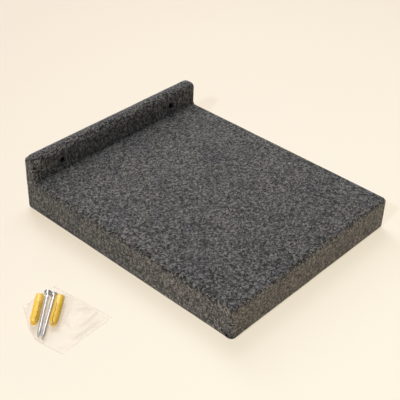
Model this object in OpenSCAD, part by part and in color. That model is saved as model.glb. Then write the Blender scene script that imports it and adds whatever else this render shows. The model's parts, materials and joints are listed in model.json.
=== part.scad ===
// Cat wall platform: a felt wrapped deck with an upstand that screws to the wall,
// and the screws and plugs that come with it, lying beside it in their clear bag.
// X runs along the wall, Y runs towards the wall and Z is up.
// The origin is midway between the two wall screw holes, on the face that meets the wall.

/* [Platform] */
// Width along the wall, over the felt
platform_w = 250; // [220:1:360]
// Depth out from the wall, over the felt
platform_d = 300; // [240:1:360]
// Thickness of the deck board
deck_board_t = 32; // [26:1:38]
// Thickness of the wall board
wall_board_t = 10; // [9:0.5:14]
// Height of the upstand above the deck
upstand_rise = 30; // [27:0.5:45]
// Radius of the two upright corners at the front, over the felt
corner_r = 5; // [4.5:0.5:10]
// Radius of the deck's long edges, over the felt
edge_r = 4; // [4:0.25:6]
// Radius of the upstand's two long top edges, over the felt
crest_r = 8; // [5:0.25:8]
// Radius of the upstand's two upper corners, as seen from the front, over the felt
crest_corner_r = 8; // [4.5:0.5:10]

/* [Felt] */
// Thickness of the felt
felt_t = 3.5; // [2.5:0.25:4]
// Width of the felt that is turned under all round
hem_w = 25; // [22:1:34]
// Width of the cut between two mitred hems, and round the underside panel
felt_gap = 0.6; // [0.4:0.1:1.2]
// How far the seam on each end drops from the deck's top to the wall face
seam_drop = 11; // [4:1:16]

/* [Wall screw holes] */
// Distance between the two holes
hole_spacing = 168; // [120:1:190]
// Distance from the upstand's top down to the holes
hole_below_top = 18; // [15:0.5:19]
// Diameter of the holes
wall_hole_d = 6; // [4.5:0.1:6.5]
// Diameter of the hollow that each hole draws into the felt
dimple_d = 12; // [9:0.5:13]
// Depth of that hollow
dimple_depth = 1.5; // [0.5:0.1:1.8]

/* [Joint screws] */
// Length of a joint screw
joint_screw_l = 50; // [35:5:70]
// Diameter of a joint screw
joint_screw_d = 4; // [3.5:0.5:4.5]
// Diameter of its countersunk head
joint_head_d = 8; // [7:0.5:9]
// Distance from the platform's end to the first joint screw
joint_inset = 27; // [20:1:40]
// Clearance round a screw or a staple in its hole
hole_fit = 0.15; // [0.1:0.05:0.25]

/* [Staples] */
// Length of a staple's crown
staple_crown = 10; // [8:1:12]
// Length of a staple's legs
staple_leg = 10; // [8:1:14]
// Thickness of a staple's wire
staple_wire = 0.8; // [0.6:0.1:1]
// Distance from the hem's inner edge to its row of staples
staple_margin = 6; // [4:0.5:8]
// Largest distance between two staples of a row
staple_pitch = 50; // [35:5:70]
// Depth that the crowns are sunk into the felt
staple_sink = 0.3; // [0.2:0.1:0.5]

/* [Wall screws] */
// Length of a wall screw
wall_screw_l = 60; // [50:1:70]
// Diameter of a wall screw over its thread
wall_screw_d = 4; // [3.5:0.1:4.2]
// Length of a wall screw's pointed tip
wall_tip_l = 6.5; // [4:0.5:8]
// Diameter of a wall screw's head
wall_head_d = 8; // [7:0.5:9]
// Thickness of the head's rim
head_rim = 0.5; // [0.3:0.1:1]
// Depth of the cross recess in the head
recess_depth = 1.8; // [1:0.1:2.2]
// Width of one arm of the recess
recess_arm = 1.1; // [0.8:0.1:1.4]

/* [Wall plugs] */
// Length of a wall plug
plug_l = 38; // [34:1:42]
// Diameter of the plug's smooth end
plug_d = 8.6; // [7.5:0.1:9]
// Diameter of the bore that the screw enters
plug_bore_d = 3.6; // [3:0.1:4.2]
// Depth of that bore
plug_bore_depth = 31; // [26:1:32]
// Length of the smooth end
plug_smooth_l = 12; // [10:1:15]
// Number of barbs behind the smooth end
plug_barbs = 6; // [4:1:8]
// Depth of a barb
barb_depth = 0.6; // [0.3:0.1:0.8]
// Length of the tapered nose
plug_nose_l = 4; // [3:0.5:6]
// Diameter of the nose at its end
plug_nose_d = 5.8; // [5:0.1:6.4]
// Width of the zigzag slit
slit_w = 0.8; // [0.6:0.1:1]
// Depth of one tooth of the zigzag
slit_tooth = 0.7; // [0.4:0.1:0.9]
// Number of teeth of the zigzag
slit_teeth = 7; // [5:1:9]

/* [Bag] */
// Thickness of the bag's film
film_t = 0.4; // [0.3:0.1:0.6]
// Room between the film and what it holds
bag_ease = 0.3; // [0.2:0.1:0.4]
// Gap between two neighbours in the bag
kit_gap = 0.4; // [0.3:0.1:0.6]
// Distance from the platform's side to the screws' heads
kit_from_side = 77; // [74:1:100]
// Distance from the wall face to the screws' heads
kit_from_wall = 133.5; // [115:0.5:170]
// Direction that the screws point in, anticlockwise from the wall line
kit_heading = 220.5; // [213:0.5:228]
// Length of the bag, laid flat
bag_l = 75; // [74:0.5:90]
// Width of the bag, laid flat
bag_w = 65; // [64:0.5:80]
// Direction of its length, anticlockwise from the screws
bag_heading = 57; // [54:0.5:59]
// Angle that what it holds draws it out of square
bag_skew = 5; // [0:0.5:6]
// Room in the bag behind the screws' heads
bag_room = 15; // [13:0.5:18]
// What is left of the width where the corner over the plug is folded under
bag_fold_w = 40; // [38:0.5:48]
// What is left of the length where that fold ends
bag_fold_l = 22; // [18:0.5:26]

/* [Hidden] */
$fn = 64;
// Reach of a cut past the surface that it opens
over = 1;
// Gap under a round thing that lies on a flat one
lie_gap = 0.05;

deck_h = deck_board_t + 2 * felt_t;
total_h = deck_h + upstand_rise;
upstand_t = wall_board_t + 2 * felt_t;
// The two rounded top edges leave a narrow flat between them
crest_fit = min(crest_r, upstand_t / 2 - 0.5);
// Height of the wall screw holes above the floor
hole_height = total_h - hole_below_top;
// Y of the joint between the two boards
board_joint_y = -felt_t - wall_board_t;
// Height of the joint screws, in the middle of the deck board's edge
joint_height = felt_t + deck_board_t / 2;
joint_screws = 4;
joint_run = platform_w - 2 * joint_inset;
staple_inset = hem_w - staple_margin;
// Half of the opening between the hems, and its two ends
opening_x = platform_w / 2 - hem_w;
opening_front = -platform_d + hem_w;
opening_rear = -hem_w;

function cone_l(head_d, screw_d) = (head_d - screw_d) / 2;
wall_head_l = head_rim + cone_l(wall_head_d, wall_screw_d);
// The two screws lie side by side, one further on by its head's length, so that they nest
kit_stagger = wall_head_l + kit_gap;
screw_across = (wall_head_d / 2 + wall_screw_d / 2 + kit_gap) / 2;
plug_across = screw_across + (wall_screw_d + plug_d) / 2 + kit_gap;
plug_start = kit_stagger / 2 + wall_head_l + kit_gap;
// They draw together towards their tips until the threads nearly touch
converge = asin((wall_head_d - wall_screw_d) / 4 / (wall_screw_l - wall_tip_l));
// Each screw leans on its head's rim and on the end of its thread
screw_lean = atan(cone_l(wall_head_d, wall_screw_d) / (wall_screw_l - wall_tip_l - head_rim));
screw_lift = wall_head_d / 2 * cos(screw_lean) + head_rim * sin(screw_lean);

function heading(angle) = [cos(angle), sin(angle)];
// Outline of the bag, along the screws and across them: three corners, and the ends of the fold
bag_along = heading(bag_heading);
bag_across = heading(bag_heading - 90 - bag_skew);
bag_rear = [-kit_stagger / 2 - bag_room, 0];
bag_front = bag_rear + bag_l * bag_along + bag_w * bag_across;
bag_outline = [
    bag_rear,
    bag_rear + bag_fold_w * bag_across,
    bag_front - bag_fold_l * bag_along,
    bag_front,
    bag_rear + bag_l * bag_along
];

// Places what is drawn from the floor up so that the holes are at the height of the origin
module from_floor() translate([0, 0, -hole_height]) children();

// Rectangle with its own radius at each corner, anticlockwise from the low corner
module rounded_rect(low, high, r) {
    corner = [low, [high.x, low.y], high, [low.x, high.y]];
    inward = [[1, 1], [-1, 1], [-1, -1], [1, -1]];
    polygon([
        for (i = [0:3], k = r[i] > 0 ? [0, 1] : [0])
            corner[i] + r[i] * ((i + k) % 2 == 0 ? [0, inward[i].y] : [inward[i].x, 0])
    ]);
    for (i = [0:3]) if (r[i] > 0) translate(corner[i] + r[i] * inward[i]) circle(r[i]);
}

// Block from low to high, rounded as seen from above, from the front and from the right
module rounded_block(low, high, plan_r, front_r, side_r) {
    intersection() {
        translate([0, 0, low.z])
            linear_extrude(high.z - low.z)
                rounded_rect([low.x, low.y], [high.x, high.y], plan_r);
        translate([0, high.y, 0]) rotate([90, 0, 0])
            linear_extrude(high.y - low.y)
                rounded_rect([low.x, low.z], [high.x, high.z], front_r);
        translate([low.x, 0, 0]) rotate([90, 0, 90])
            linear_extrude(high.x - low.x)
                rounded_rect([low.y, low.z], [high.y, high.z], side_r);
    }
}

// The deck, at the felt's face with inset 0 or at the boards with inset felt_t
module deck_form(inset, rear_y, rear_r) {
    r = edge_r - inset;
    front = corner_r - inset;
    rounded_block(
        [-platform_w / 2 + inset, -platform_d + inset, inset],
        [platform_w / 2 - inset, rear_y, deck_h - inset],
        [front, front, rear_r, rear_r], [r, r, r, r], [r, rear_r, 0, r]
    );
}

// The upstand, which runs down behind the deck board to the floor
module upstand_form(inset) {
    r = edge_r - inset;
    crest = crest_fit - inset;
    corner = crest_corner_r - inset;
    rounded_block(
        [-platform_w / 2 + inset, -upstand_t + inset, inset],
        [platform_w / 2 - inset, -inset, total_h - inset],
        [r, r, r, r], [r, r, corner, corner], [0, r, crest, crest]
    );
}

// Both together, over the felt
module felt_form() {
    deck_form(0, 0, edge_r);
    upstand_form(0);
}

module boards_form() {
    deck_form(felt_t, board_joint_y, 0);
    upstand_form(felt_t);
}

// Countersunk screw along +Z, with its head's face at Z = 0
module countersunk(length, d, head_d, rim, tip_l) {
    rotate_extrude()
        polygon([
            [0, 0], [head_d / 2, 0], [head_d / 2, rim], [d / 2, rim + cone_l(head_d, d)],
            [d / 2, length - tip_l], [0, length]
        ]);
}

// Calls its child at each joint screw, whose axis turns from +Z to -Y
module at_joint_screw(i) {
    x = -joint_run / 2 + joint_run * (i - 1) / (joint_screws - 1);
    translate([x, -felt_t, joint_height]) rotate([90, 0, 0]) children();
}

module joint_screw(i) {
    color("goldenrod") from_floor() at_joint_screw(i)
        countersunk(joint_screw_l, joint_screw_d, joint_head_d, head_rim, wall_tip_l);
}

// What a joint screw needs cut out of the boards
module joint_holes() {
    for (i = [1:joint_screws]) at_joint_screw(i) {
        countersunk(
            joint_screw_l + hole_fit, joint_screw_d + 2 * hole_fit,
            joint_head_d + 2 * hole_fit, head_rim, wall_tip_l
        );
        translate([0, 0, -over]) cylinder(h = over, d = joint_head_d + 2 * hole_fit);
    }
}

// The two holes for the wall screws, right through the upstand
module wall_holes() {
    for (side = [-1, 1])
        translate([side * hole_spacing / 2, over, hole_height]) rotate([90, 0, 0])
            cylinder(h = upstand_t + 2 * over, d = wall_hole_d);
}

// The hollows round those holes in the felt's front face
module dimples() {
    for (side = [-1, 1])
        translate([side * hole_spacing / 2, -upstand_t, hole_height]) rotate([-90, 0, 0])
            cylinder(h = dimple_depth, d1 = dimple_d, d2 = wall_hole_d);
}

// Staple with its crown along X and its legs up, grown on all sides to cut its own slot
module staple(grow, below) {
    half = staple_crown / 2;
    wire = staple_wire;
    translate([-half - grow, -wire / 2 - grow, -below])
        cube([2 * (half + grow), wire + 2 * grow, wire + grow + below]);
    for (x = [-half, half - wire])
        translate([x - grow, -wire / 2 - grow, 0])
            cube([wire + 2 * grow, wire + 2 * grow, staple_leg + grow]);
}

module staple_row(run, grow, below) {
    spaces = ceil(run / staple_pitch);
    for (i = [0:spaces])
        translate([-run / 2 + run * i / spaces, 0, 0]) staple(grow, below);
}

// One row along the hem of each side, numbered front, left, right and rear
module staples_of(side, grow = 0, below = 0) {
    middle = -platform_d / 2;
    run_x = 2 * opening_x - staple_crown;
    run_y = opening_rear - opening_front - staple_crown;
    place = [
        [0, -platform_d + staple_inset], [-platform_w / 2 + staple_inset, middle],
        [platform_w / 2 - staple_inset, middle], [0, -staple_inset]
    ][side];
    along_y = side == 1 || side == 2;
    translate([place.x, place.y, staple_sink]) rotate([0, 0, along_y ? 90 : 0])
        staple_row(along_y ? run_y : run_x, grow, below);
}

module staple_slots() {
    for (side = [0:3]) staples_of(side, hole_fit, staple_sink + over);
}

module deck_board() {
    color("burlywood") from_floor() difference() {
        deck_form(felt_t, board_joint_y, 0);
        joint_holes();
        staple_slots();
    }
}

module wall_board() {
    color("tan") from_floor() difference() {
        upstand_form(felt_t);
        joint_holes();
        wall_holes();
    }
}

// Where the felt is the upstand's: above the end seams, down the back and the rear hem
module upstand_felt_zone() {
    half = platform_w / 2;
    inner = half - felt_t;
    translate([-half - over, 0, 0]) rotate([90, 0, 90])
        linear_extrude(2 * (half + over))
            polygon([
                [over, deck_h - seam_drop], [-upstand_t, deck_h],
                [-upstand_t, total_h + over], [over, total_h + over]
            ]);
    translate([-inner, -upstand_t, deck_h - felt_t]) cube([2 * inner, upstand_t, total_h]);
    translate([-inner, -felt_t, felt_t]) cube([2 * inner, felt_t + over, total_h]);
    rear_hem(inner, 0);
}

// The rear hem narrows at 45 degrees from the full width at the back to the opening
module rear_hem(inner, gap) {
    front_x = opening_x + gap;
    translate([0, 0, -over])
        linear_extrude(felt_t + over)
            polygon([
                [-inner - gap, over], [-inner - gap, -felt_t], [-front_x, opening_rear],
                [front_x, opening_rear], [inner + gap, -felt_t], [inner + gap, over]
            ]);
}

// The opening that the hems leave in the underside
module hem_opening(gap) {
    translate([-opening_x + gap, opening_front + gap, -over])
        cube([2 * (opening_x - gap), opening_rear - opening_front - 2 * gap, felt_t + over]);
}

// The cut between two hems that meet at a front corner
module mitre_cut(side) {
    length = (hem_w - felt_t) * sqrt(2);
    translate([side * opening_x, opening_front, -over])
        rotate([0, 0, side < 0 ? 225 : 315])
            translate([-over, -felt_gap / 2, 0]) cube([length - over, felt_gap, felt_t + over]);
}

// One blank: the top, both sides, the front and their hems
module deck_felt() {
    color("dimgray") from_floor() difference() {
        felt_form();
        boards_form();
        upstand_felt_zone();
        rear_hem(platform_w / 2 - felt_t, felt_gap);
        hem_opening(0);
        for (side = [-1, 1]) mitre_cut(side);
        staple_slots();
    }
}

// One blank: the upstand's front, top, ends and back, and the hem behind
module upstand_felt() {
    color("gray") from_floor() difference() {
        intersection() {
            felt_form();
            upstand_felt_zone();
        }
        boards_form();
        hem_opening(0);
        staple_slots();
        wall_holes();
        dimples();
    }
}

module underside_felt() {
    color("darkgray") from_floor() intersection() {
        hem_opening(felt_gap);
        translate([-platform_w, -platform_d, 0]) cube([2 * platform_w, platform_d, felt_t]);
    }
}

module staples(side) {
    color("silver") from_floor() staples_of(side);
}

// Places what is drawn along and across the screws, lying in the bag
module in_kit() {
    from_floor()
        translate([-platform_w / 2 - kit_from_side, -kit_from_wall, film_t + lie_gap])
            rotate([0, 0, kit_heading]) children();
}

// A wall screw on its side, its tip towards +X; side is -1 or 1
module screw_place(side) {
    translate([side * kit_stagger / 2, side * screw_across, screw_lift])
        rotate([0, 0, -side * converge]) rotate([0, 90 + screw_lean, 0]) children();
}

// A wall plug on its side, its nose towards +X
module plug_place(side) {
    translate([plug_start, side * plug_across, plug_d / 2])
        rotate([0, 0, -side * converge]) rotate([0, 90, 0]) children();
}

module wall_screw(side) {
    color("silver") in_kit() screw_place(side) difference() {
        countersunk(wall_screw_l, wall_screw_d, wall_head_d, head_rim, wall_tip_l);
        for (turn = [45, 135]) rotate([0, 0, turn])
            translate([-wall_head_d * 0.3, -recess_arm / 2, -over])
                cube([wall_head_d * 0.6, recess_arm, recess_depth + over]);
    }
}

// Outside of a plug along +Z: the smooth end, the barbs and the nose
module plug_body() {
    r = plug_d / 2;
    bevel = 0.5;
    barb_run = plug_l - plug_nose_l - plug_smooth_l;
    pitch = barb_run / plug_barbs;
    rotate_extrude()
        polygon([
            [0, 0], [r - bevel, 0], [r, bevel], [r, plug_smooth_l],
            for (i = [0:plug_barbs - 1])
                let (z = plug_smooth_l + i * pitch)
                each [[r - barb_depth, z], [r, z + 0.1 * pitch], [r, z + 0.4 * pitch]],
            [r - barb_depth, plug_l - plug_nose_l], [plug_nose_d / 2, plug_l], [0, plug_l]
        ]);
}

// The slit that lets the plug spread, with teeth that grip each other
module zigzag_slit() {
    start = plug_smooth_l;
    step = (plug_l - start) / slit_teeth;
    chain = [for (i = [0:slit_teeth + 1]) [(i % 2 - 0.5) * 2 * slit_tooth, start + i * step]];
    last = len(chain) - 1;
    translate([0, plug_d, 0]) rotate([90, 0, 0])
        linear_extrude(2 * plug_d)
            polygon([
                for (p = chain) p - [slit_w / 2, 0],
                for (i = [last:-1:0]) chain[i] + [slit_w / 2, 0]
            ]);
}

module wall_plug(side) {
    // The slit of one plug looks up and the other is rolled over a little
    roll = side < 0 ? 55 : 100;
    color("gold") in_kit() plug_place(side) rotate([0, 0, roll]) difference() {
        plug_body();
        translate([0, 0, -over]) cylinder(h = plug_bore_depth + over, d = plug_bore_d);
        zigzag_slit();
    }
}

// Stand-ins for what the bag holds, grown by the room that the film leaves
module kit_envelope(grow) {
    for (side = [-1, 1]) {
        screw_place(side) translate([0, 0, -grow])
            cylinder(
                h = wall_screw_l + 2 * grow, d1 = wall_head_d + 2 * grow,
                d2 = wall_screw_d + 2 * grow, $fn = 32
            );
        plug_place(side) translate([0, 0, -grow])
            cylinder(h = plug_l + 2 * grow, d = plug_d + 2 * grow, $fn = 32);
    }
}

// The film drawn over the screws and plugs, and down to the bag's outline
module film_skin(bottom, inset, grow) {
    intersection() {
        hull() {
            translate([0, 0, bottom]) linear_extrude(film_t) offset(delta = -inset) polygon(bag_outline);
            kit_envelope(grow);
        }
        translate([-platform_w, -platform_w, bottom]) cube(2 * platform_w);
    }
}

module fixings_bag() {
    floor_z = -film_t - lie_gap;
    color("aliceblue", 0.4) in_kit() difference() {
        film_skin(floor_z, 0, bag_ease + film_t);
        film_skin(floor_z + film_t, 2 * film_t, bag_ease);
    }
}

deck_board();
wall_board();
joint_screw(1);  // joint_screw_1
joint_screw(2);  // joint_screw_2
joint_screw(3);  // joint_screw_3
joint_screw(4);  // joint_screw_4
deck_felt();
upstand_felt();
underside_felt();
staples(0);  // staples_front
staples(1);  // staples_left
staples(2);  // staples_right
staples(3);  // staples_rear
wall_screw(-1);  // wall_screw_1
wall_screw(1);  // wall_screw_2
wall_plug(-1);  // wall_plug_1
wall_plug(1);  // wall_plug_2
fixings_bag();
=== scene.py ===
"""Looks of the felt covered cat wall platform, and of the fixings that lie beside it.

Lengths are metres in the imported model's own frame: X along the wall, Y towards the wall, Z up,
with the origin midway between the two wall screw holes.
"""
import json
import math

import bmesh
import bpy
from mathutils import Matrix, Vector, geometry, noise
from mathutils.bvhtree import BVHTree


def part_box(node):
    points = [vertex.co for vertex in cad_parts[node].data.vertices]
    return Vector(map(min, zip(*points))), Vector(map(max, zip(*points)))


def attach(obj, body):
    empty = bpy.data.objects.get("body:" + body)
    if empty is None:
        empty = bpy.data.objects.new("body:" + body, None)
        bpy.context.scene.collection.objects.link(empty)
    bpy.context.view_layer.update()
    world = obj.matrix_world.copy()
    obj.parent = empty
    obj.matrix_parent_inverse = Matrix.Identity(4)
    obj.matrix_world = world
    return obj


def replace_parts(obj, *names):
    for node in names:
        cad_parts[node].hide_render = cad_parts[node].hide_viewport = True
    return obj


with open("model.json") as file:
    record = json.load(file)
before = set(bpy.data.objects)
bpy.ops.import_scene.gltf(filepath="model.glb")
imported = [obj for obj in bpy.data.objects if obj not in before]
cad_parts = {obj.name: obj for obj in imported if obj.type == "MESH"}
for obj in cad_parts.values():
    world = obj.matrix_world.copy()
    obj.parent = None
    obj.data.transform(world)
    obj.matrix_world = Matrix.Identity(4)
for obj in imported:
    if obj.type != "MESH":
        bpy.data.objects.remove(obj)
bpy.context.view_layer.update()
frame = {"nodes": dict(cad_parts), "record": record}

MM = 0.001
TINY = 0.01 * MM

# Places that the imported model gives
deck_low, deck_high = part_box("deck_felt")
wall_board_low, wall_board_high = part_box("wall_board")
panel_low, panel_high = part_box("underside_felt")
HALF_W = deck_high.x
FRONT = deck_low.y
FLOOR = deck_low.z
DECK_TOP = deck_high.z
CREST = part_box("upstand_felt")[1].z
FELT = HALF_W - wall_board_high.x
UPSTAND_FRONT = wall_board_low.y - FELT
HOLES = next(m["dims"] for m in frame["record"]["mounts"] if m["name"] == "wall_screws")
HOLE_X = HOLES["spacing_x_mm"] / 2 * MM
HOLE_R = HOLES["hole_r_mm"] * MM

# The felt covers
HEM_GAP = 0.6 * MM
HEM_X = panel_high.x + HEM_GAP
HEM_FRONT = panel_low.y - HEM_GAP
HEM_REAR = panel_high.y + HEM_GAP
SEAM_DROP = 11 * MM
SEAM_DEPTH = 0.4 * MM
SEAM_REACH = 1 * MM
UPRIGHT_R = 4.5 * MM
EDGE_R = 4 * MM
CREST_R = 8 * MM
DIMPLE_R = 7 * MM
DIMPLE_DEPTH = 1.9 * MM
EDGE_MARGIN = 8.5 * MM
FINE = 1.2 * MM
COARSE = 3 * MM
# How much of a normal has to point a way for its face to count as turned that way
FACING = 0.5
# Squares round a wall screw hole: their size, and their count out to its edge and to the block's rim
CELL = 1.25 * MM
HOLE_RING = 3
HOLE_BLOCK = 7
# Distances from a hole's middle where the painted shade on and in its rim starts to fade, and where
# it ends
RIM_DARK = HOLE_R * 1.05
RIM_END = HOLE_R * 1.5
# The hollow at the foot of the upstand: its reach, and how often the felt is smoothed there
COVE = 5 * MM
COVE_SMOOTHINGS = 4
# The felt's own lumps, broad ones and fine ones: how wide they are, and how high
BROAD_LUMP = 26 * MM
BROAD_RISE = 0.22 * MM
FINE_LUMP = 7 * MM
FINE_RISE = 0.1 * MM
# How far the felt's tangled fibres carry the edges of its clumps
FRAY = 1.1 * MM
# The underside panel is thinner than the covers, so that its lumps have room
PANEL_THICKNESS = FELT - 0.1 * MM
# The dents that the staples press into the hems
STAPLE_SINK = 0.3 * MM
STAPLE_REACH = 2.4 * MM
STAPLE_DENT = 0.75 * MM
# The tuck low on each side, by the front: the Y and Z between which its crease runs down and forward
TUCK_START = Vector((FRONT + 19 * MM, FLOOR + 12.5 * MM))
TUCK_END = Vector((FRONT + 5 * MM, FLOOR + 6 * MM))
TUCK_DEPTH = 0.9 * MM
TUCK_HALF = 0.7 * MM
# The swell below the crease, and how far below it lies
TUCK_SWELL = 0.6 * MM
SWELL_DROP = 2.4 * MM
SWELL_HALF = 1.8 * MM
# Shares of the crease's length over which the tuck fades in, and fades out past the crease's end
TUCK_FADE_IN = 1 / 3
TUCK_FADE_OUT = 1 / 4
# How far the finer squares round a tuck reach below it, above it and behind it
TUCK_BELOW = 4 * MM
TUCK_ABOVE = 3 * MM
TUCK_BEHIND = 2 * MM

# The wall screws: radii, and places along their axes from the head's face
HEAD_CUT = 2.4 * MM
NECK_START = HEAD_CUT + 0.4 * MM
THREAD_START = 6 * MM
TIP_START = 53.5 * MM
SCREW_LENGTH = 60 * MM
CORE_R = 1.65 * MM
ROOT_R = CORE_R * 0.9
THREAD_R = 2 * MM
NECK_R = THREAD_R * 0.92
THREAD_PITCH = 1.5 * MM
THREAD_HALF = 0.3 * THREAD_PITCH
THREAD_STEPS = 16
TIP_STEPS = 8
# Least shares of the core's radius and of the thread's height towards the tip
LEAST_CORE = 0.06
LEAST_THREAD = 0.3
SHARP_ANGLE = math.radians(40)

# The bag
FILM = 0.05 * MM
FILM_CELL = 0.75 * MM
FILM_SETTLING = 100
# How far the upper film lies over what it rests on, and the edges and the lower film over the floor
FILM_LIFT = 0.35 * MM
FILM_EDGE = 0.15 * MM
FILM_LOW = FILM_EDGE / 5
# Folds in the empty half of the bag, each from one place on the floor to another
FOLDS = [
    (Vector((-0.199, -0.163)), Vector((-0.183, -0.177))),
    (Vector((-0.184, -0.181)), Vector((-0.212, -0.185))),
    (Vector((-0.187, -0.191)), Vector((-0.232, -0.193))),
]
FOLD_RISE = 2.2 * MM
FOLD_HALF = 1.3 * MM
# Share of a fold's length over which it fades at each of its ends
FOLD_FADE = 1 / 3
# The shallow waves in the slack film
RIPPLE_WIDTH = 9 * MM
RIPPLE_RISE = 1.5 * MM
# The film's creases: their spacing along X and Y, the slice of the noise they come from, their form
CREASE_X = 5 * MM
CREASE_Y = 14 * MM
CREASE_SLICE = 7
CREASE_SHARPNESS = 3
CREASE_RISE = 0.9 * MM
# The height over the floor from which on the film is wholly slack
SLACK_HEIGHT = 3 * MM
# How far in from the bag's edges its film lies flat, and how far in it is wholly loose
FLAT_EDGE = 2 * MM
LOOSE_EDGE = 6 * MM


# Mesh helpers

def new_piece(name, bm, material):
    """Turns a bmesh into a piece of the object, with its finish, riding on the one body"""
    mesh = bpy.data.meshes.new(name)
    bm.to_mesh(mesh)
    bm.free()
    mesh.materials.append(material)
    for polygon in mesh.polygons:
        polygon.use_smooth = True
    piece = bpy.data.objects.new(name, mesh)
    bpy.context.scene.collection.objects.link(piece)
    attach(piece, "root")
    return piece


def thicken(piece, name, thickness):
    """Gives a surface its thickness, on the inner side of its faces"""
    wall = piece.modifiers.new(name, "SOLIDIFY")
    wall.thickness = thickness
    wall.offset = -1


def absorb(bm, other):
    """Adds another bmesh to a bmesh and joins them where they meet"""
    mesh = bpy.data.meshes.new("absorbed")
    other.to_mesh(mesh)
    other.free()
    bm.from_mesh(mesh)
    bpy.data.meshes.remove(mesh)
    bmesh.ops.remove_doubles(bm, verts=bm.verts, dist=TINY)


def with_parts(faces):
    """The given faces along with their vertices and edges"""
    return list({part for f in faces for part in (*f.verts, *f.edges)}) + faces


def places(*stops):
    """Slice places from the first stop to the last; a stop is its place and the step after it"""
    made = []
    for (start, step), (end, _) in zip(stops, stops[1:]):
        count = max(1, round((end - start) / step))
        made += [start + (end - start) * i / count for i in range(count)]
    return made + [stops[-1][0]]


def lattice_box(xs, ys, zs):
    """Closed box, sliced at the given places along each axis"""
    bm = bmesh.new()
    bmesh.ops.create_cube(bm, size=1, matrix=Matrix.Translation((0.5, 0.5, 0.5)))
    for axis, slices in enumerate((xs, ys, zs)):
        along = [e for e in bm.edges if abs((e.verts[0].co - e.verts[1].co)[axis]) > 0.5]
        if len(slices) > 2:
            bmesh.ops.subdivide_edges(bm, edges=along, cuts=len(slices) - 2, use_grid_fill=True)
    for vert in bm.verts:
        vert.co = [
            slices[round(share * (len(slices) - 1))]
            for share, slices in zip(vert.co, (xs, ys, zs))
        ]
    return bm


def round_off(point, low, high, pair, radius):
    """Where a point of a box lies once the edges that cross a pair of axes are rounded"""
    core = point.copy()
    for axis in pair:
        core[axis] = min(max(point[axis], low[axis] + radius), high[axis] - radius)
    away = point - core
    if away.length < TINY:
        return point
    square_reach = max(abs(part) for part in away)
    return core + away * (square_reach / away.length)


def smooth_step(value):
    """Eases from 0 to 1 as value goes from 0 to 1"""
    value = min(max(value, 0), 1)
    return value * value * (3 - 2 * value)


def packed_tree(*names):
    """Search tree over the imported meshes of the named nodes"""
    verts, faces = [], []
    for name in names:
        mesh = frame["nodes"][name].data
        faces += [[len(verts) + i for i in polygon.vertices] for polygon in mesh.polygons]
        verts += [vert.co.copy() for vert in mesh.vertices]
    return BVHTree.FromPolygons(verts, faces)


def delete_faces(bm, unwanted):
    """Deletes the faces whose middles the test picks, and what only they used"""
    faces = [f for f in bm.faces if unwanted(f.calc_center_median())]
    bmesh.ops.delete(bm, geom=faces, context="FACES")


# Felt covers

X_STOPS = [
    (-HALF_W, FINE), (-HALF_W + FELT, FINE), (-HALF_W + EDGE_MARGIN, COARSE), (-HEM_X, COARSE),
    (-HOLE_X - HOLE_BLOCK * CELL, CELL), (-HOLE_X + HOLE_BLOCK * CELL, COARSE),
    (HOLE_X - HOLE_BLOCK * CELL, CELL), (HOLE_X + HOLE_BLOCK * CELL, COARSE),
    (HEM_X, COARSE), (HALF_W - EDGE_MARGIN, FINE), (HALF_W - FELT, FINE), (HALF_W, 0),
]
Y_STOPS = [
    (FRONT, FINE), (FRONT + EDGE_MARGIN, COARSE), (HEM_FRONT, COARSE), (HEM_REAR, FINE),
    (UPSTAND_FRONT, FINE), (-FELT, FINE), (0, 0),
]
DECK_STOPS = [
    (FLOOR, FINE), (FLOOR + EDGE_MARGIN, COARSE), (DECK_TOP - EDGE_MARGIN, FINE), (DECK_TOP, 0),
]
CREST_STOPS = [
    (DECK_TOP, FINE), (-HOLE_BLOCK * CELL, CELL), (HOLE_BLOCK * CELL, FINE), (CREST, 0),
]
MIDDLE_Z = (FLOOR + DECK_TOP) / 2
DECK_COVER, UPSTAND_COVER, OPEN = 0, 1, 2


def drill(bm, x):
    """Draws the squares round a wall screw hole into rings, and opens the hole"""
    edge, rim = HOLE_RING * CELL, HOLE_BLOCK * CELL
    upright = [f for f in bm.faces if abs(f.normal.y) > FACING]
    inside = [
        f for f in upright
        if max(abs(f.calc_center_median().x - x), abs(f.calc_center_median().z)) < edge
    ]
    verts = {v for f in upright for v in f.verts}
    bmesh.ops.delete(bm, geom=inside, context="FACES")
    for vert in (v for v in verts if v.is_valid):
        u, w = vert.co.x - x, vert.co.z
        square = max(abs(u), abs(w))
        if square < rim - TINY:
            ring = HOLE_R + (square - edge) * (rim - HOLE_R) / (rim - edge)
            roundness = (rim - square) / (rim - edge)
            scale = ring * ((1 - roundness) / square + roundness / math.hypot(u, w))
            vert.co.x = x + u * scale
            vert.co.z = w * scale


def seam_height(y):
    """Height of the seam on the platform's ends"""
    return DECK_TOP - SEAM_DROP * (y - UPSTAND_FRONT) / -UPSTAND_FRONT


def bare_skin():
    """Deck and upstand as one closed skin with square edges and open holes"""
    ys = places(*Y_STOPS)
    deck = lattice_box(places(*X_STOPS), ys, places(*DECK_STOPS))
    delete_faces(deck, lambda c: c.z > DECK_TOP - TINY and c.y > UPSTAND_FRONT)
    upstand_ys = [y for y in ys if y > UPSTAND_FRONT - TINY]
    upstand = lattice_box(places(*X_STOPS), upstand_ys, places(*CREST_STOPS))
    delete_faces(upstand, lambda c: c.z < DECK_TOP + TINY)
    for side in (-1, 1):
        drill(upstand, side * HOLE_X)
    absorb(deck, upstand)
    bmesh.ops.recalc_face_normals(deck, faces=deck.faces)
    return deck


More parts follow.
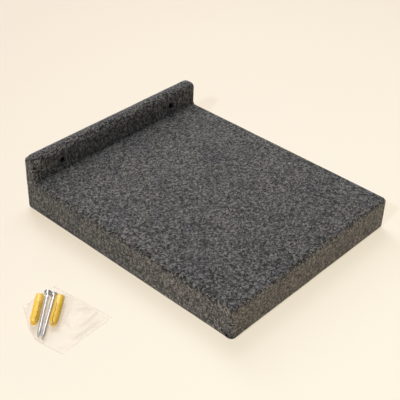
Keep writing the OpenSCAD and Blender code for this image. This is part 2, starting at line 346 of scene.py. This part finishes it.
def cut_seam(bm):
    """Slices the skin along the slanted seams on its two ends"""
    along = Vector((0, -UPSTAND_FRONT, -SEAM_DROP))
    across = along.cross(Vector((1, 0, 0))).normalized()
    ends = [f for f in bm.faces if abs(f.normal.x) > FACING]
    bmesh.ops.bisect_plane(
        bm, geom=with_parts(ends), dist=TINY, plane_co=(0, UPSTAND_FRONT, DECK_TOP), plane_no=across
    )


def cut_mitres(bm):
    """Slices the hems along the two edges of the gap at each of their corners"""
    for side in (-1, 1):
        for hem_y, turn, offsets in (
            (HEM_FRONT, -1, (-HEM_GAP / 2, HEM_GAP / 2)), (HEM_REAR, 1, (0, HEM_GAP))
        ):
            along = Vector((side, turn, 0)).normalized()
            across = Vector((side, -turn, 0)).normalized()
            corner = Vector((side * HEM_X, hem_y, FLOOR))
            for offset in offsets:
                flaps = [
                    f for f in bm.faces
                    if f.normal.z < -FACING and (f.calc_center_median() - corner).dot(along) > 0
                    and side * f.calc_center_median().x > HEM_X
                    and turn * (f.calc_center_median().y - hem_y) > 0
                ]
                bmesh.ops.bisect_plane(
                    bm, geom=with_parts(flaps), dist=TINY, plane_co=corner + across * offset,
                    plane_no=across
                )


def owner(face):
    """Which cover a face of the square skin belongs to"""
    c = face.calc_center_median()
    out, behind = abs(c.x), c.y - HEM_REAR
    if c.z > seam_height(c.y) or c.z > DECK_TOP:
        return UPSTAND_COVER if c.y > UPSTAND_FRONT - TINY else DECK_COVER
    if face.normal.z < -FACING:
        if out < HEM_X and HEM_FRONT < c.y < HEM_REAR:
            return OPEN
        if out > HEM_X and c.y < HEM_FRONT:
            off = abs(out - HEM_X + c.y - HEM_FRONT)
            return OPEN if off < HEM_GAP * math.sqrt(0.5) else DECK_COVER
        if behind > 0:
            past = (out - HEM_X - behind) / math.sqrt(2)
            return UPSTAND_COVER if past < 0 else OPEN if past < HEM_GAP else DECK_COVER
    if face.normal.y > FACING and out < HALF_W - FELT:
        return UPSTAND_COVER
    return DECK_COVER


def soft_place(point):
    """Where a point of the square skin lies once the edges are rounded"""
    low = Vector((-HALF_W, FRONT, FLOOR))
    high = Vector((HALF_W, 0, DECK_TOP))
    edges, radius = ((0, 2), (1, 2)), EDGE_R
    if point.z > DECK_TOP + TINY:
        low = Vector((-HALF_W, UPSTAND_FRONT, FLOOR))
        high = Vector((HALF_W, 0, CREST))
        edges, radius = ((1, 2), (0, 2)), CREST_R
    elif point.y > UPSTAND_FRONT + TINY and point.z > MIDDLE_Z:
        edges = ()
    for pair in edges:
        point = round_off(point, low, high, pair, radius)
    return round_off(point, low, high, (0, 1), UPRIGHT_R)


def groove(point, normal):
    """How far the seam on each end draws the felt in"""
    if abs(normal.x) < FACING or point.y < UPSTAND_FRONT:
        return 0
    off = (point.z - seam_height(point.y)) / SEAM_REACH
    return SEAM_DEPTH * math.exp(-off * off)


def dimple(point):
    """How far a wall screw hole draws the felt's front in"""
    if abs(point.y - UPSTAND_FRONT) > MM or point.z < DECK_TOP + MM:
        return 0
    off = math.hypot(abs(point.x) - HOLE_X, point.z)
    share = min(max((DIMPLE_R - off) / (DIMPLE_R - HOLE_R), 0), 1)
    return DIMPLE_DEPTH * share * share


def dent(point):
    """How far a staple's crown presses a hem in"""
    if point.z > FLOOR + MM:
        return 0
    off = staples.find_nearest(point)[3] - STAPLE_SINK
    return STAPLE_DENT * smooth_step(1 - off / STAPLE_REACH)


def tuck(point):
    """How far the tuck by each front corner draws a side in, or lets it swell below the crease"""
    if abs(point.x) < HALF_W - MM or point.y > TUCK_START.x + MM:
        return 0
    line = TUCK_END - TUCK_START
    place = Vector((point.y, point.z)) - TUCK_START
    along = place.dot(line) / line.length_squared
    above = (place.y * line.x - place.x * line.y) / -line.length
    fade_in = smooth_step(along / TUCK_FADE_IN)
    fade_out = smooth_step((1 + TUCK_FADE_OUT - along) / TUCK_FADE_OUT)
    drawn_in = TUCK_DEPTH * math.exp(-(above / TUCK_HALF) ** 2)
    swell = TUCK_SWELL * math.exp(-((above + SWELL_DROP) / SWELL_HALF) ** 2)
    return fade_in * fade_out * (drawn_in - swell)


def refine(bm):
    """Gives the felt finer squares where a staple lies and round the tucks"""
    reach = STAPLE_REACH + COARSE / 2
    low, high = TUCK_END.y - TUCK_BELOW, TUCK_START.y + TUCK_ABOVE
    fine = []
    for face in bm.faces:
        c = face.calc_center_median()
        if face.normal.z < -FACING and staples.find_nearest(c)[3] < reach:
            fine.append(face)
        if abs(face.normal.x) > FACING and c.y < TUCK_START.x + TUCK_BEHIND and low < c.z < high:
            fine.append(face)
    edges = list({e for f in fine for e in f.edges})
    bmesh.ops.subdivide_edges(bm, edges=edges, cuts=2, use_grid_fill=True)


def unevenness(point):
    """Height of the felt's own lumps"""
    broad = noise.noise(point / BROAD_LUMP) * BROAD_RISE
    fine = noise.noise(point / FINE_LUMP) * FINE_RISE
    return broad + fine


def platform_skin():
    """Outer skin of both covers, each face marked with the cover that it belongs to"""
    bm = bare_skin()
    cut_seam(bm)
    cut_mitres(bm)
    for face in bm.faces:
        face.material_index = owner(face)
    refine(bm)
    for vert in bm.verts:
        vert.co = soft_place(vert.co)
    junction = [
        v for v in bm.verts
        if math.hypot(v.co.y - UPSTAND_FRONT, v.co.z - DECK_TOP) < COVE
        and abs(v.co.x) < HALF_W - FINE
    ]
    for _ in range(COVE_SMOOTHINGS):
        bmesh.ops.smooth_vert(bm, verts=junction, factor=0.5, use_axis_y=True, use_axis_z=True)
    bm.normal_update()
    moves = []
    for vert in bm.verts:
        lump = unevenness(vert.co)
        if vert.normal.z < -FACING:
            lump = -abs(lump)
        inward = groove(vert.co, vert.normal) + dimple(vert.co) + dent(vert.co) + tuck(vert.co)
        moves.append(vert.normal * (lump - inward))
    for vert, move in zip(bm.verts, moves):
        vert.co += move
    return bm


def cover(name, skin, part):
    """One felt cover: its share of the skin, given the felt's thickness"""
    bm = skin.copy()
    bmesh.ops.delete(bm, geom=[f for f in bm.faces if f.material_index != part], context="FACES")
    for face in bm.faces:
        face.material_index = 0
    piece = new_piece(name, bm, felt)
    thicken(piece, "Felt thickness", FELT)
    return piece


def underside_panel():
    """The flat panel that fills the opening between the hems"""
    low, high = panel_low, panel_high
    bm = bmesh.new()
    bmesh.ops.create_grid(
        bm, x_segments=round((high.x - low.x) / COARSE), y_segments=round((high.y - low.y) / COARSE),
        size=0.5, matrix=Matrix.Translation((0.5, 0.5, 0))
    )
    for vert in bm.verts:
        x, y = vert.co.xy
        vert.co = (low.x + x * (high.x - low.x), low.y + y * (high.y - low.y), FLOOR)
        vert.co.z += abs(unevenness(vert.co))
    bmesh.ops.reverse_faces(bm, faces=bm.faces)
    piece = new_piece("underside_panel", bm, felt)
    thicken(piece, "Felt thickness", PANEL_THICKNESS)
    return piece


# Wall screws

def screw_ends(bm):
    """Middle of a packed screw's head, and its tip, the vertex farthest from the mean of them all"""
    middle = sum((v.co for v in bm.verts), Vector()) / len(bm.verts)
    tip = max((v.co for v in bm.verts), key=lambda place: (place - middle).length).copy()
    reach = max((v.co - tip).length for v in bm.verts)
    rim = [v.co for v in bm.verts if reach - (v.co - tip).length < TINY]
    return sum(rim, Vector()) / len(rim), tip


def draw_on(bm, ring, place, radius):
    """Draws an open ring of edges on to the given place along Z and radius"""
    made = bmesh.ops.extrude_edge_only(bm, edges=ring)["geom"]
    verts = {part for part in made if isinstance(part, bmesh.types.BMVert)}
    for vert in verts:
        out = vert.co.xy.normalized() * radius
        vert.co = (out.x, out.y, place)
    edges = [part for part in made if isinstance(part, bmesh.types.BMEdge)]
    return [e for e in edges if all(v in verts for v in e.verts)]


def core_radius(place):
    """Radius of the screw's core, which draws in to the tip"""
    return CORE_R * min(1, max(LEAST_CORE, (SCREW_LENGTH - place) / (SCREW_LENGTH - TIP_START)))


def cut_thread(bm):
    """One ridge that winds along the core and dies away at both its ends"""
    turns = (SCREW_LENGTH - MM - THREAD_START) / THREAD_PITCH
    steps = round(turns * THREAD_STEPS)
    profile = [
        bm.verts.new((radius, 0, THREAD_START + place))
        for radius, place in ((ROOT_R, -THREAD_HALF), (THREAD_R, 0), (ROOT_R, THREAD_HALF))
    ]
    edges = [bm.edges.new((profile[i - 1], profile[i])) for i in range(3)]
    old = set(bm.verts) - set(profile)
    bmesh.ops.spin(
        bm, geom=profile + edges, cent=(0, 0, 0), axis=(0, 0, 1), angle=math.tau * turns, steps=steps,
        dvec=(0, 0, turns * THREAD_PITCH / steps)
    )
    ridge = [v for v in bm.verts if v not in old]
    bmesh.ops.holes_fill(bm, edges=[e for e in bm.edges if e.is_boundary], sides=3)
    for vert in ridge:
        start = smooth_step((vert.co.z - THREAD_START) / (2 * THREAD_PITCH))
        core = core_radius(vert.co.z)
        rise = vert.co.xy.length - CORE_R
        left = LEAST_THREAD + (1 - LEAST_THREAD) * core / CORE_R
        grown = core + rise * (start if rise > 0 else 1) * left
        vert.co.xy = vert.co.xy.normalized() * grown


def wall_screw(name):
    """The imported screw's head on a drawn-in shank with a real thread"""
    bm = bmesh.new()
    bm.from_mesh(frame["nodes"][name].data)
    bmesh.ops.remove_doubles(bm, verts=bm.verts, dist=TINY)
    head, tip = screw_ends(bm)
    placed = Matrix.Translation(head) @ (tip - head).to_track_quat("Z", "Y").to_matrix().to_4x4()
    bm.transform(placed.inverted())
    bmesh.ops.bisect_plane(
        bm, geom=[*bm.verts, *bm.edges, *bm.faces], dist=TINY,
        plane_co=(0, 0, HEAD_CUT), plane_no=(0, 0, 1), clear_outer=True
    )
    ring = [e for e in bm.edges if e.is_boundary]
    stops = ((NECK_START, NECK_R), (THREAD_START - MM, NECK_R), (THREAD_START, CORE_R))
    for place, radius in stops:
        ring = draw_on(bm, ring, place, radius)
    for step in range(TIP_STEPS + 1):
        place = TIP_START + (SCREW_LENGTH - TIP_START) * step / TIP_STEPS
        ring = draw_on(bm, ring, place, core_radius(place))
    bmesh.ops.holes_fill(bm, edges=ring, sides=0)
    cut_thread(bm)
    bmesh.ops.recalc_face_normals(bm, faces=bm.faces)
    bm.transform(placed)
    piece = new_piece(name + "_threaded", bm, zinc)
    piece.data.set_sharp_from_angle(angle=SHARP_ANGLE)
    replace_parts(piece, name)


# Bag

def bag_outline():
    """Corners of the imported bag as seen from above, in order"""
    points = [vert.co.xy for vert in frame["nodes"]["fixings_bag"].data.vertices]
    return [points[i] for i in geometry.convex_hull_2d(points)]


def edge_foot(point, corners):
    """The nearest place to a point on the bag's edges"""
    feet = [
        geometry.intersect_point_line(point.xy, start, end)[0]
        for start, end in zip(corners, corners[1:] + corners[:1])
    ]
    return min(feet, key=lambda foot: (point.xy - foot.xy).length)


def flat_film(corners):
    """Flat sheet of small squares, cut to the outline"""
    low = Vector([min(c[axis] for c in corners) for axis in (0, 1)])
    high = Vector([max(c[axis] for c in corners) for axis in (0, 1)])
    span = high - low
    bm = bmesh.new()
    bmesh.ops.create_grid(
        bm, x_segments=round(span.x / FILM_CELL), y_segments=round(span.y / FILM_CELL), size=0.5,
        matrix=Matrix.Translation((0.5, 0.5, 0))
    )
    for vert in bm.verts:
        vert.co = (low.x + vert.co.x * span.x, low.y + vert.co.y * span.y, FLOOR + FILM_EDGE)
    middle = (low + high) / 2
    for start, end in zip(corners, corners[1:] + corners[:1]):
        along = end - start
        across = Vector((along.y, -along.x, 0))
        if across.xy.dot(middle - start) > 0:
            across.negate()
        bmesh.ops.bisect_plane(
            bm, geom=[*bm.verts, *bm.edges, *bm.faces], dist=TINY, plane_co=(*start, 0),
            plane_no=across, clear_outer=True
        )
    bmesh.ops.remove_doubles(bm, verts=bm.verts, dist=FILM_CELL / 4)
    for vert in (v for v in bm.verts if v.is_boundary):
        vert.co.xy = edge_foot(vert.co, corners).xy
    return bm


def drape(bm, contents, corners):
    """Lets the upper film sink on to what the bag holds and draw down to its edges"""
    inner = [v for v in bm.verts if not v.is_boundary]
    rests = []
    for vert in inner:
        hit = contents.ray_cast((vert.co.x, vert.co.y, DECK_TOP), (0, 0, -1))[0]
        rests.append(hit.z + FILM_LIFT if hit else vert.co.z)
    for vert, rest in zip(inner, rests):
        vert.co.z = rest
    for _ in range(FILM_SETTLING):
        bmesh.ops.smooth_vert(bm, verts=inner, factor=0.5, use_axis_z=True)
        for vert, rest in zip(inner, rests):
            vert.co.z = max(vert.co.z, rest)
    for vert, rest in zip(inner, rests):
        slack = min(1, (vert.co.z - FLOOR) / SLACK_HEIGHT)
        gap = (vert.co.xy - edge_foot(vert.co, corners).xy).length
        loose = smooth_step((gap - FLAT_EDGE) / (LOOSE_EDGE - FLAT_EDGE))
        vert.co.z = max(vert.co.z + slack * crease(vert.co), rest)
        vert.co.z += loose * max(fold(vert.co), ripple(vert.co))


def ripple(point):
    """Height of the shallow waves in the slack film"""
    return RIPPLE_RISE * max(noise.noise(Vector((point.x, point.y, 0)) / RIPPLE_WIDTH), 0)


def crease(point):
    """Height of the film's fine creases, which are drawn out along Y"""
    drawn = Vector((point.x / CREASE_X, point.y / CREASE_Y, CREASE_SLICE))
    sharp = 1 - abs(noise.noise(drawn)) * CREASE_SHARPNESS
    return max(sharp, 0) ** 2 * CREASE_RISE


def fold(point):
    """Height of the folds in the empty half of the bag"""
    rise = 0
    for start, end in FOLDS:
        along = end - start
        share = (point.xy - start).dot(along) / along.length_squared
        off = (point.xy - start - along * share).length / FOLD_HALF
        fade = smooth_step(share / FOLD_FADE) * smooth_step((1 - share) / FOLD_FADE)
        rise = max(rise, FOLD_RISE * fade * math.exp(-off * off))
    return rise


def fixings_film():
    """The bag: an upper film over the screws and plugs, sealed all round to a lower one"""
    corners = bag_outline()
    upper = flat_film(corners)
    lower = upper.copy()
    contents = packed_tree("wall_screw_1", "wall_screw_2", "wall_plug_1", "wall_plug_2")
    drape(upper, contents, corners)
    for vert in lower.verts:
        if not vert.is_boundary:
            vert.co.z = FLOOR + FILM_LOW
    bmesh.ops.reverse_faces(lower, faces=lower.faces)
    absorb(upper, lower)
    piece = new_piece("bag", upper, film)
    thicken(piece, "Film thickness", FILM)
    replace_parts(piece, "fixings_bag")


# Finishes

def add(tree, kind, inputs=None, **settings):
    """Adds a shader node; each input is a constant or another node's socket"""
    made = tree.nodes.new("ShaderNode" + kind)
    for key, value in settings.items():
        setattr(made, key, value)
    for key, value in (inputs or {}).items():
        if isinstance(value, bpy.types.NodeSocket):
            tree.links.new(value, made.inputs[key])
        else:
            made.inputs[key].default_value = value
    return made


def ramp(tree, value, *stops):
    """Colour ramp through (position, colour) stops"""
    made = add(tree, "ValToRGB", {"Fac": value})
    elements = made.color_ramp.elements
    while len(elements) < len(stops):
        elements.new(0.5)
    for element, (position, colour) in zip(elements, stops):
        element.position = position
        element.color = (*colour, 1)
    return made.outputs["Color"]


def blend(tree, factor, first, second, mode="MIX"):
    """Mixes two colours; the node's inputs 6 and 7 take colours, and its output 2 gives one"""
    made = add(tree, "Mix", data_type="RGBA", blend_type=mode)
    for index, value in ((0, factor), (6, first), (7, second)):
        if isinstance(value, bpy.types.NodeSocket):
            tree.links.new(value, made.inputs[index])
        elif index:
            made.inputs[index].default_value = (*value, 1)
        else:
            made.inputs[index].default_value = value
    return made.outputs[2]


def finish(name, **constants):
    """New material; constants go straight onto its shader's sockets"""
    material = bpy.data.materials.new(name)
    material.use_nodes = True
    tree = material.node_tree
    shader = tree.nodes["Principled BSDF"]
    for key, value in constants.items():
        shader.inputs[key.replace("_", " ").title().replace("Ior", "IOR")].default_value = value
    place = add(tree, "TexCoord").outputs["Object"]
    return material, tree, shader, place


def hole_nearness(tree, place):
    """From 0 well clear of the wall screw holes to 1 on their rims; it masks the painted shade in and
    round the holes
    """
    axes = add(tree, "SeparateXYZ", {"Vector": place}).outputs
    side = add(tree, "Math", {0: axes["X"]}, operation="ABSOLUTE").outputs[0]
    across = add(tree, "Math", {0: side, 1: HOLE_X}, operation="SUBTRACT").outputs[0]
    from_axis = add(tree, "CombineXYZ", {"X": across, "Y": axes["Z"]}).outputs[0]
    reach = add(tree, "VectorMath", {0: from_axis}, operation="LENGTH").outputs["Value"]
    return add(
        tree, "MapRange",
        {"Value": reach, "From Min": RIM_DARK, "From Max": RIM_END, "To Min": 1.0, "To Max": 0.0}
    ).outputs[0]


def emboss(tree, shader, height, strength, distance):
    """Bumps a finish by the given heights"""
    bump = add(tree, "Bump", {"Height": height, "Strength": strength, "Distance": distance})
    tree.links.new(bump.outputs["Normal"], shader.inputs["Normal"])


def felt_finish():
    """Dark grey melange needle felt: pale curled fibres over frayed clumps of dark and grey ones,
    with painted shade round the wall screw holes
    """
    material, tree, shader, place = finish(
        "felt", roughness=0.95, sheen_weight=0.25, sheen_roughness=0.5, specular_ior_level=0.15
    )
    tangle = add(
        tree, "TexNoise",
        {"Vector": place, "Scale": 2000, "Detail": 2, "Roughness": 0.6, "Distortion": 2.0}
    ).outputs["Color"]
    frayed = add(
        tree, "VectorMath", {0: tangle, 1: (FRAY, FRAY, FRAY), 2: place}, operation="MULTIPLY_ADD"
    ).outputs[0]
    curls = add(
        tree, "TexNoise",
        {"Vector": frayed, "Scale": 800, "Detail": 2, "Roughness": 0.6, "Distortion": 1.6},
        noise_type="RIDGED_MULTIFRACTAL"
    ).outputs["Fac"]
    clumps = add(
        tree, "TexNoise",
        {"Vector": frayed, "Scale": 380, "Detail": 6, "Roughness": 0.85, "Distortion": 0.7}
    ).outputs["Fac"]
    strands = add(
        tree, "TexNoise",
        {"Vector": frayed, "Scale": 1000, "Detail": 2, "Roughness": 0.7, "Distortion": 1.5}
    ).outputs["Fac"]
    drift = add(
        tree, "TexNoise", {"Vector": place, "Scale": 42, "Detail": 3, "Roughness": 0.6}
    ).outputs["Fac"]
    dark_and_grey = ramp(
        tree, clumps, (0.45, (0.002, 0.002, 0.002)), (0.50, (0.032, 0.030, 0.029)),
        (0.56, (0.242, 0.232, 0.221))
    )
    pale = ramp(tree, curls, (0.5, (0, 0, 0)), (1.0, (0.75, 0.75, 0.75)))
    fibres = blend(tree, pale, dark_and_grey, (0.38, 0.365, 0.35))
    # The felt's tint drifts at random; the painted shade round the holes is multiplied into the same
    # colour below
    tint_and_painted_shade = ramp(
        tree, drift, (0.35, (0.80, 0.77, 0.83)), (0.5, (0.87, 0.86, 0.83)), (0.65, (0.98, 0.92, 0.91))
    )
    # Painted shade: the felt grows dark towards the wall screw holes' rims, where the holes' depth
    # lies in shade
    painted_hole_shade = ramp(tree, hole_nearness(tree, place), (0.0, (1, 1, 1)), (0.6, (0.10, 0.10, 0.10)))
    tint_and_painted_shade = blend(tree, 1.0, tint_and_painted_shade, painted_hole_shade, "MULTIPLY")
    streaks = ramp(tree, strands, (0.38, (0.5, 0.5, 0.5)), (0.62, (1.5, 1.5, 1.5)))
    tint_and_painted_shade = blend(tree, 1.0, tint_and_painted_shade, streaks, "MULTIPLY")
    tree.links.new(blend(tree, 1.0, fibres, tint_and_painted_shade, "MULTIPLY"), shader.inputs["Base Color"])
    height = add(tree, "Math", {0: curls, 1: clumps}, operation="ADD").outputs[0]
    emboss(tree, shader, height, strength=0.6, distance=0.4 * MM)
    return material


def board_finish():
    """Raw fibreboard: pale tan with fine darker fibres, with painted shade in the wall screw holes"""
    material, tree, shader, place = finish("board", roughness=0.8)
    grain = add(
        tree, "TexNoise", {"Vector": place, "Scale": 900, "Detail": 4, "Roughness": 0.7}
    ).outputs["Fac"]
    colour = ramp(tree, grain, (0.3, (0.30, 0.20, 0.11)), (0.7, (0.52, 0.38, 0.24)))
    # Painted shade deep in the wall screw holes
    colour = blend(tree, hole_nearness(tree, place), colour, (0.012, 0.010, 0.008))
    tree.links.new(colour, shader.inputs["Base Color"])
    emboss(tree, shader, grain, strength=0.3, distance=0.1 * MM)
    return material


def metal_finish(name, dark, pale, rough_low, rough_high):
    """Plated steel whose tone and gloss drift a little"""
    material, tree, shader, place = finish(name, metallic=1.0)
    cloud = add(
        tree, "TexNoise", {"Vector": place, "Scale": 500, "Detail": 3, "Roughness": 0.6}
    ).outputs["Fac"]
    tree.links.new(ramp(tree, cloud, (0.3, dark), (0.7, pale)), shader.inputs["Base Color"])
    rough = add(
        tree, "MapRange",
        {"Value": cloud, "From Min": 0.3, "From Max": 0.7, "To Min": rough_low, "To Max": rough_high}
    ).outputs[0]
    tree.links.new(rough, shader.inputs["Roughness"])
    scratches = add(tree, "TexNoise", {"Vector": place, "Scale": 1800, "Detail": 2}).outputs["Fac"]
    emboss(tree, shader, scratches, strength=0.1, distance=0.02 * MM)
    return material


def nylon_finish():
    """Satin yellow nylon whose tone drifts a little"""
    material, tree, shader, place = finish("plug_nylon", roughness=0.42)
    cloud = add(tree, "TexNoise", {"Vector": place, "Scale": 300, "Detail": 3}).outputs["Fac"]
    colour = ramp(tree, cloud, (0.3, (1.0, 0.58, 0.016)), (0.7, (1.0, 0.68, 0.030)))
    tree.links.new(colour, shader.inputs["Base Color"])
    pores = add(tree, "TexNoise", {"Vector": place, "Scale": 2500, "Detail": 2}).outputs["Fac"]
    emboss(tree, shader, pores, strength=0.15, distance=0.02 * MM)
    return material


def film_finish():
    """Clear thin polythene film with faint haze"""
    material, tree, shader, place = finish(
        "bag_film", roughness=0.3, alpha=0.07, specular_ior_level=0.5, coat_weight=0.8,
        coat_roughness=0.15, coat_ior=1.8
    )
    haze = add(tree, "TexNoise", {"Vector": place, "Scale": 120, "Detail": 3}).outputs["Fac"]
    colour = ramp(tree, haze, (0.3, (0.54, 0.39, 0.30)), (0.7, (0.68, 0.53, 0.42)))
    tree.links.new(colour, shader.inputs["Base Color"])
    return material


felt = felt_finish()
board = board_finish()
joint_steel = metal_finish("joint_screw_steel", (0.55, 0.40, 0.16), (0.68, 0.52, 0.24), 0.25, 0.4)
wire = metal_finish("staple_wire", (0.50, 0.50, 0.51), (0.66, 0.66, 0.67), 0.25, 0.4)
zinc = metal_finish("wall_screw_zinc", (0.54, 0.54, 0.55), (0.78, 0.78, 0.79), 0.32, 0.46)
nylon = nylon_finish()
film = film_finish()

NODE_FINISH = {
    "deck_board": board, "wall_board": board, "joint_screw": joint_steel, "deck_felt": felt,
    "upstand_felt": felt, "underside_felt": felt, "staples": wire, "wall_screw": zinc,
    "wall_plug": nylon, "fixings_bag": film,
}
for node_name, node in frame["nodes"].items():
    for start, material in NODE_FINISH.items():
        if node_name.startswith(start):
            for slot in node.material_slots:
                slot.material = material

# The covers
staples = packed_tree("staples_front", "staples_left", "staples_right", "staples_rear")
skin = platform_skin()
deck_cover = cover(
    "deck_cover", skin, DECK_COVER,
)
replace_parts(deck_cover, "deck_felt")
upstand_cover = cover(
    "upstand_cover", skin, UPSTAND_COVER,
)
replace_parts(upstand_cover, "upstand_felt")
skin.free()
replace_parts(underside_panel(), "underside_felt")

# What lies beside the platform
wall_screw("wall_screw_1")
wall_screw("wall_screw_2")
fixings_film()


# Floor, lights and camera

FLOOR_CREAM = (0.98, 0.84, 0.64)
# What the camera sees of it: the part that shadows fall on, and the part that they spare
FLOOR_SHADED = (0.28, 0.28, 0.28)
FLOOR_GLOW_REAR = (0.564, 0.451, 0.322)
FLOOR_GLOW_FRONT = (0.77, 0.691, 0.532)
# Y where its glow has the rear tone, and Y where it has the front tone
FLOOR_REAR = 0.40
FLOOR_FRONT = -0.60
# Y where the floor starts to light the object by itself, and how strongly it does at the front
LIFT_REAR = 0.0
LIFT = 1.6
FLOOR_HALF = 6
# How far the floor lies below the underside, so that their faces don't share a plane
FLOOR_DROP = 0.05 * MM
ROOM_LIGHT = 0.01
CAMERA_LENS = 82.492
CAMERA_PLACE = (-0.60563, -0.68251, 0.55285)
CAMERA_DEGREES = (54.2002, -1.7085, -47.0638)


def floor_finish():
    """Pale cream floor that keeps the object's shadow and returns light to its sides"""
    material = bpy.data.materials.new("floor")
    material.use_nodes = True
    tree = material.node_tree
    tree.nodes.clear()
    rays = add(tree, "LightPath").outputs
    seen = rays["Is Camera Ray"]
    for kind in ("Is Glossy Ray", "Is Transmission Ray"):
        seen = add(tree, "Math", {0: seen, 1: rays[kind]}, operation="MAXIMUM").outputs[0]
    place = add(tree, "TexCoord").outputs["Object"]
    depth = add(tree, "SeparateXYZ", {"Vector": place}).outputs["Y"]
    nearness = add(
        tree, "MapRange", {"Value": depth, "From Min": FLOOR_REAR, "From Max": FLOOR_FRONT}
    ).outputs[0]
    strength = add(
        tree, "MapRange",
        {"Value": depth, "From Min": LIFT_REAR, "From Max": FLOOR_FRONT, "To Max": LIFT}
    ).outputs[0]
    matt = add(tree, "BsdfDiffuse", {"Color": (*FLOOR_SHADED, 1)})
    tone = blend(tree, nearness, FLOOR_GLOW_REAR, FLOOR_GLOW_FRONT)
    glow = add(tree, "Emission", {"Color": tone})
    shown = add(tree, "AddShader", {0: matt.outputs[0], 1: glow.outputs[0]})
    bounce = add(tree, "BsdfDiffuse", {"Color": (*FLOOR_CREAM, 1)})
    lift = add(tree, "Emission", {"Color": (*FLOOR_CREAM, 1), "Strength": strength})
    returned = add(tree, "AddShader", {0: bounce.outputs[0], 1: lift.outputs[0]})
    both = add(tree, "MixShader", {0: seen, 1: returned.outputs[0], 2: shown.outputs[0]})
    out = add(tree, "OutputMaterial")
    tree.links.new(both.outputs[0], out.inputs["Surface"])
    return material


def lay_floor():
    """Wide floor under the platform"""
    bm = bmesh.new()
    bmesh.ops.create_grid(
        bm, x_segments=1, y_segments=1, size=FLOOR_HALF,
        matrix=Matrix.Translation((0, 0, FLOOR - FLOOR_DROP))
    )
    mesh = bpy.data.meshes.new("floor")
    bm.to_mesh(mesh)
    bm.free()
    mesh.materials.append(floor_finish())
    floor = bpy.data.objects.new("floor", mesh)
    bpy.context.scene.collection.objects.link(floor)


def hang_lamp(name, size, energy, place, colour=(1, 1, 1)):
    """Round soft lamp that looks at the middle of the platform"""
    lamp = bpy.data.lights.new(name, "AREA")
    lamp.shape = "DISK"
    lamp.size = size
    lamp.energy = energy
    lamp.color = colour
    hung = bpy.data.objects.new(name, lamp)
    hung.location = place
    towards = Vector((0, FRONT / 2, 0)) - hung.location
    hung.rotation_euler = towards.to_track_quat("-Z", "Y").to_euler()
    bpy.context.scene.collection.objects.link(hung)


def light_the_stage():
    """Wide soft lamps overhead and behind, a small sharp one on the left and a dim even room"""
    world = bpy.data.worlds.new("room")
    bpy.context.scene.world = world
    world.use_nodes = True
    background = world.node_tree.nodes["Background"]
    background.inputs["Color"].default_value = (1, 1, 1, 1)
    background.inputs["Strength"].default_value = ROOM_LIGHT
    hang_lamp("overhead", size=0.9, energy=11.5, place=(0.33, 0.30, 1.10))
    hang_lamp("rear", size=0.9, energy=18, place=(0.65, 1.50, 1.10))
    hang_lamp(
        "left", size=0.09, energy=12.5, place=(-1.165, -0.465, 1.05), colour=(0.95, 1.0, 1.04)
    )


def set_camera():
    """The photograph's view, from the front left and above"""
    camera = bpy.data.cameras.new("camera")
    camera.lens = CAMERA_LENS
    camera.sensor_width = 36
    placed = bpy.data.objects.new("camera", camera)
    placed.location = CAMERA_PLACE
    placed.rotation_euler = [math.radians(angle) for angle in CAMERA_DEGREES]
    bpy.context.scene.collection.objects.link(placed)
    bpy.context.scene.camera = placed


lay_floor()
light_the_stage()
set_camera()
bpy.context.scene.view_settings.view_transform = "Standard"
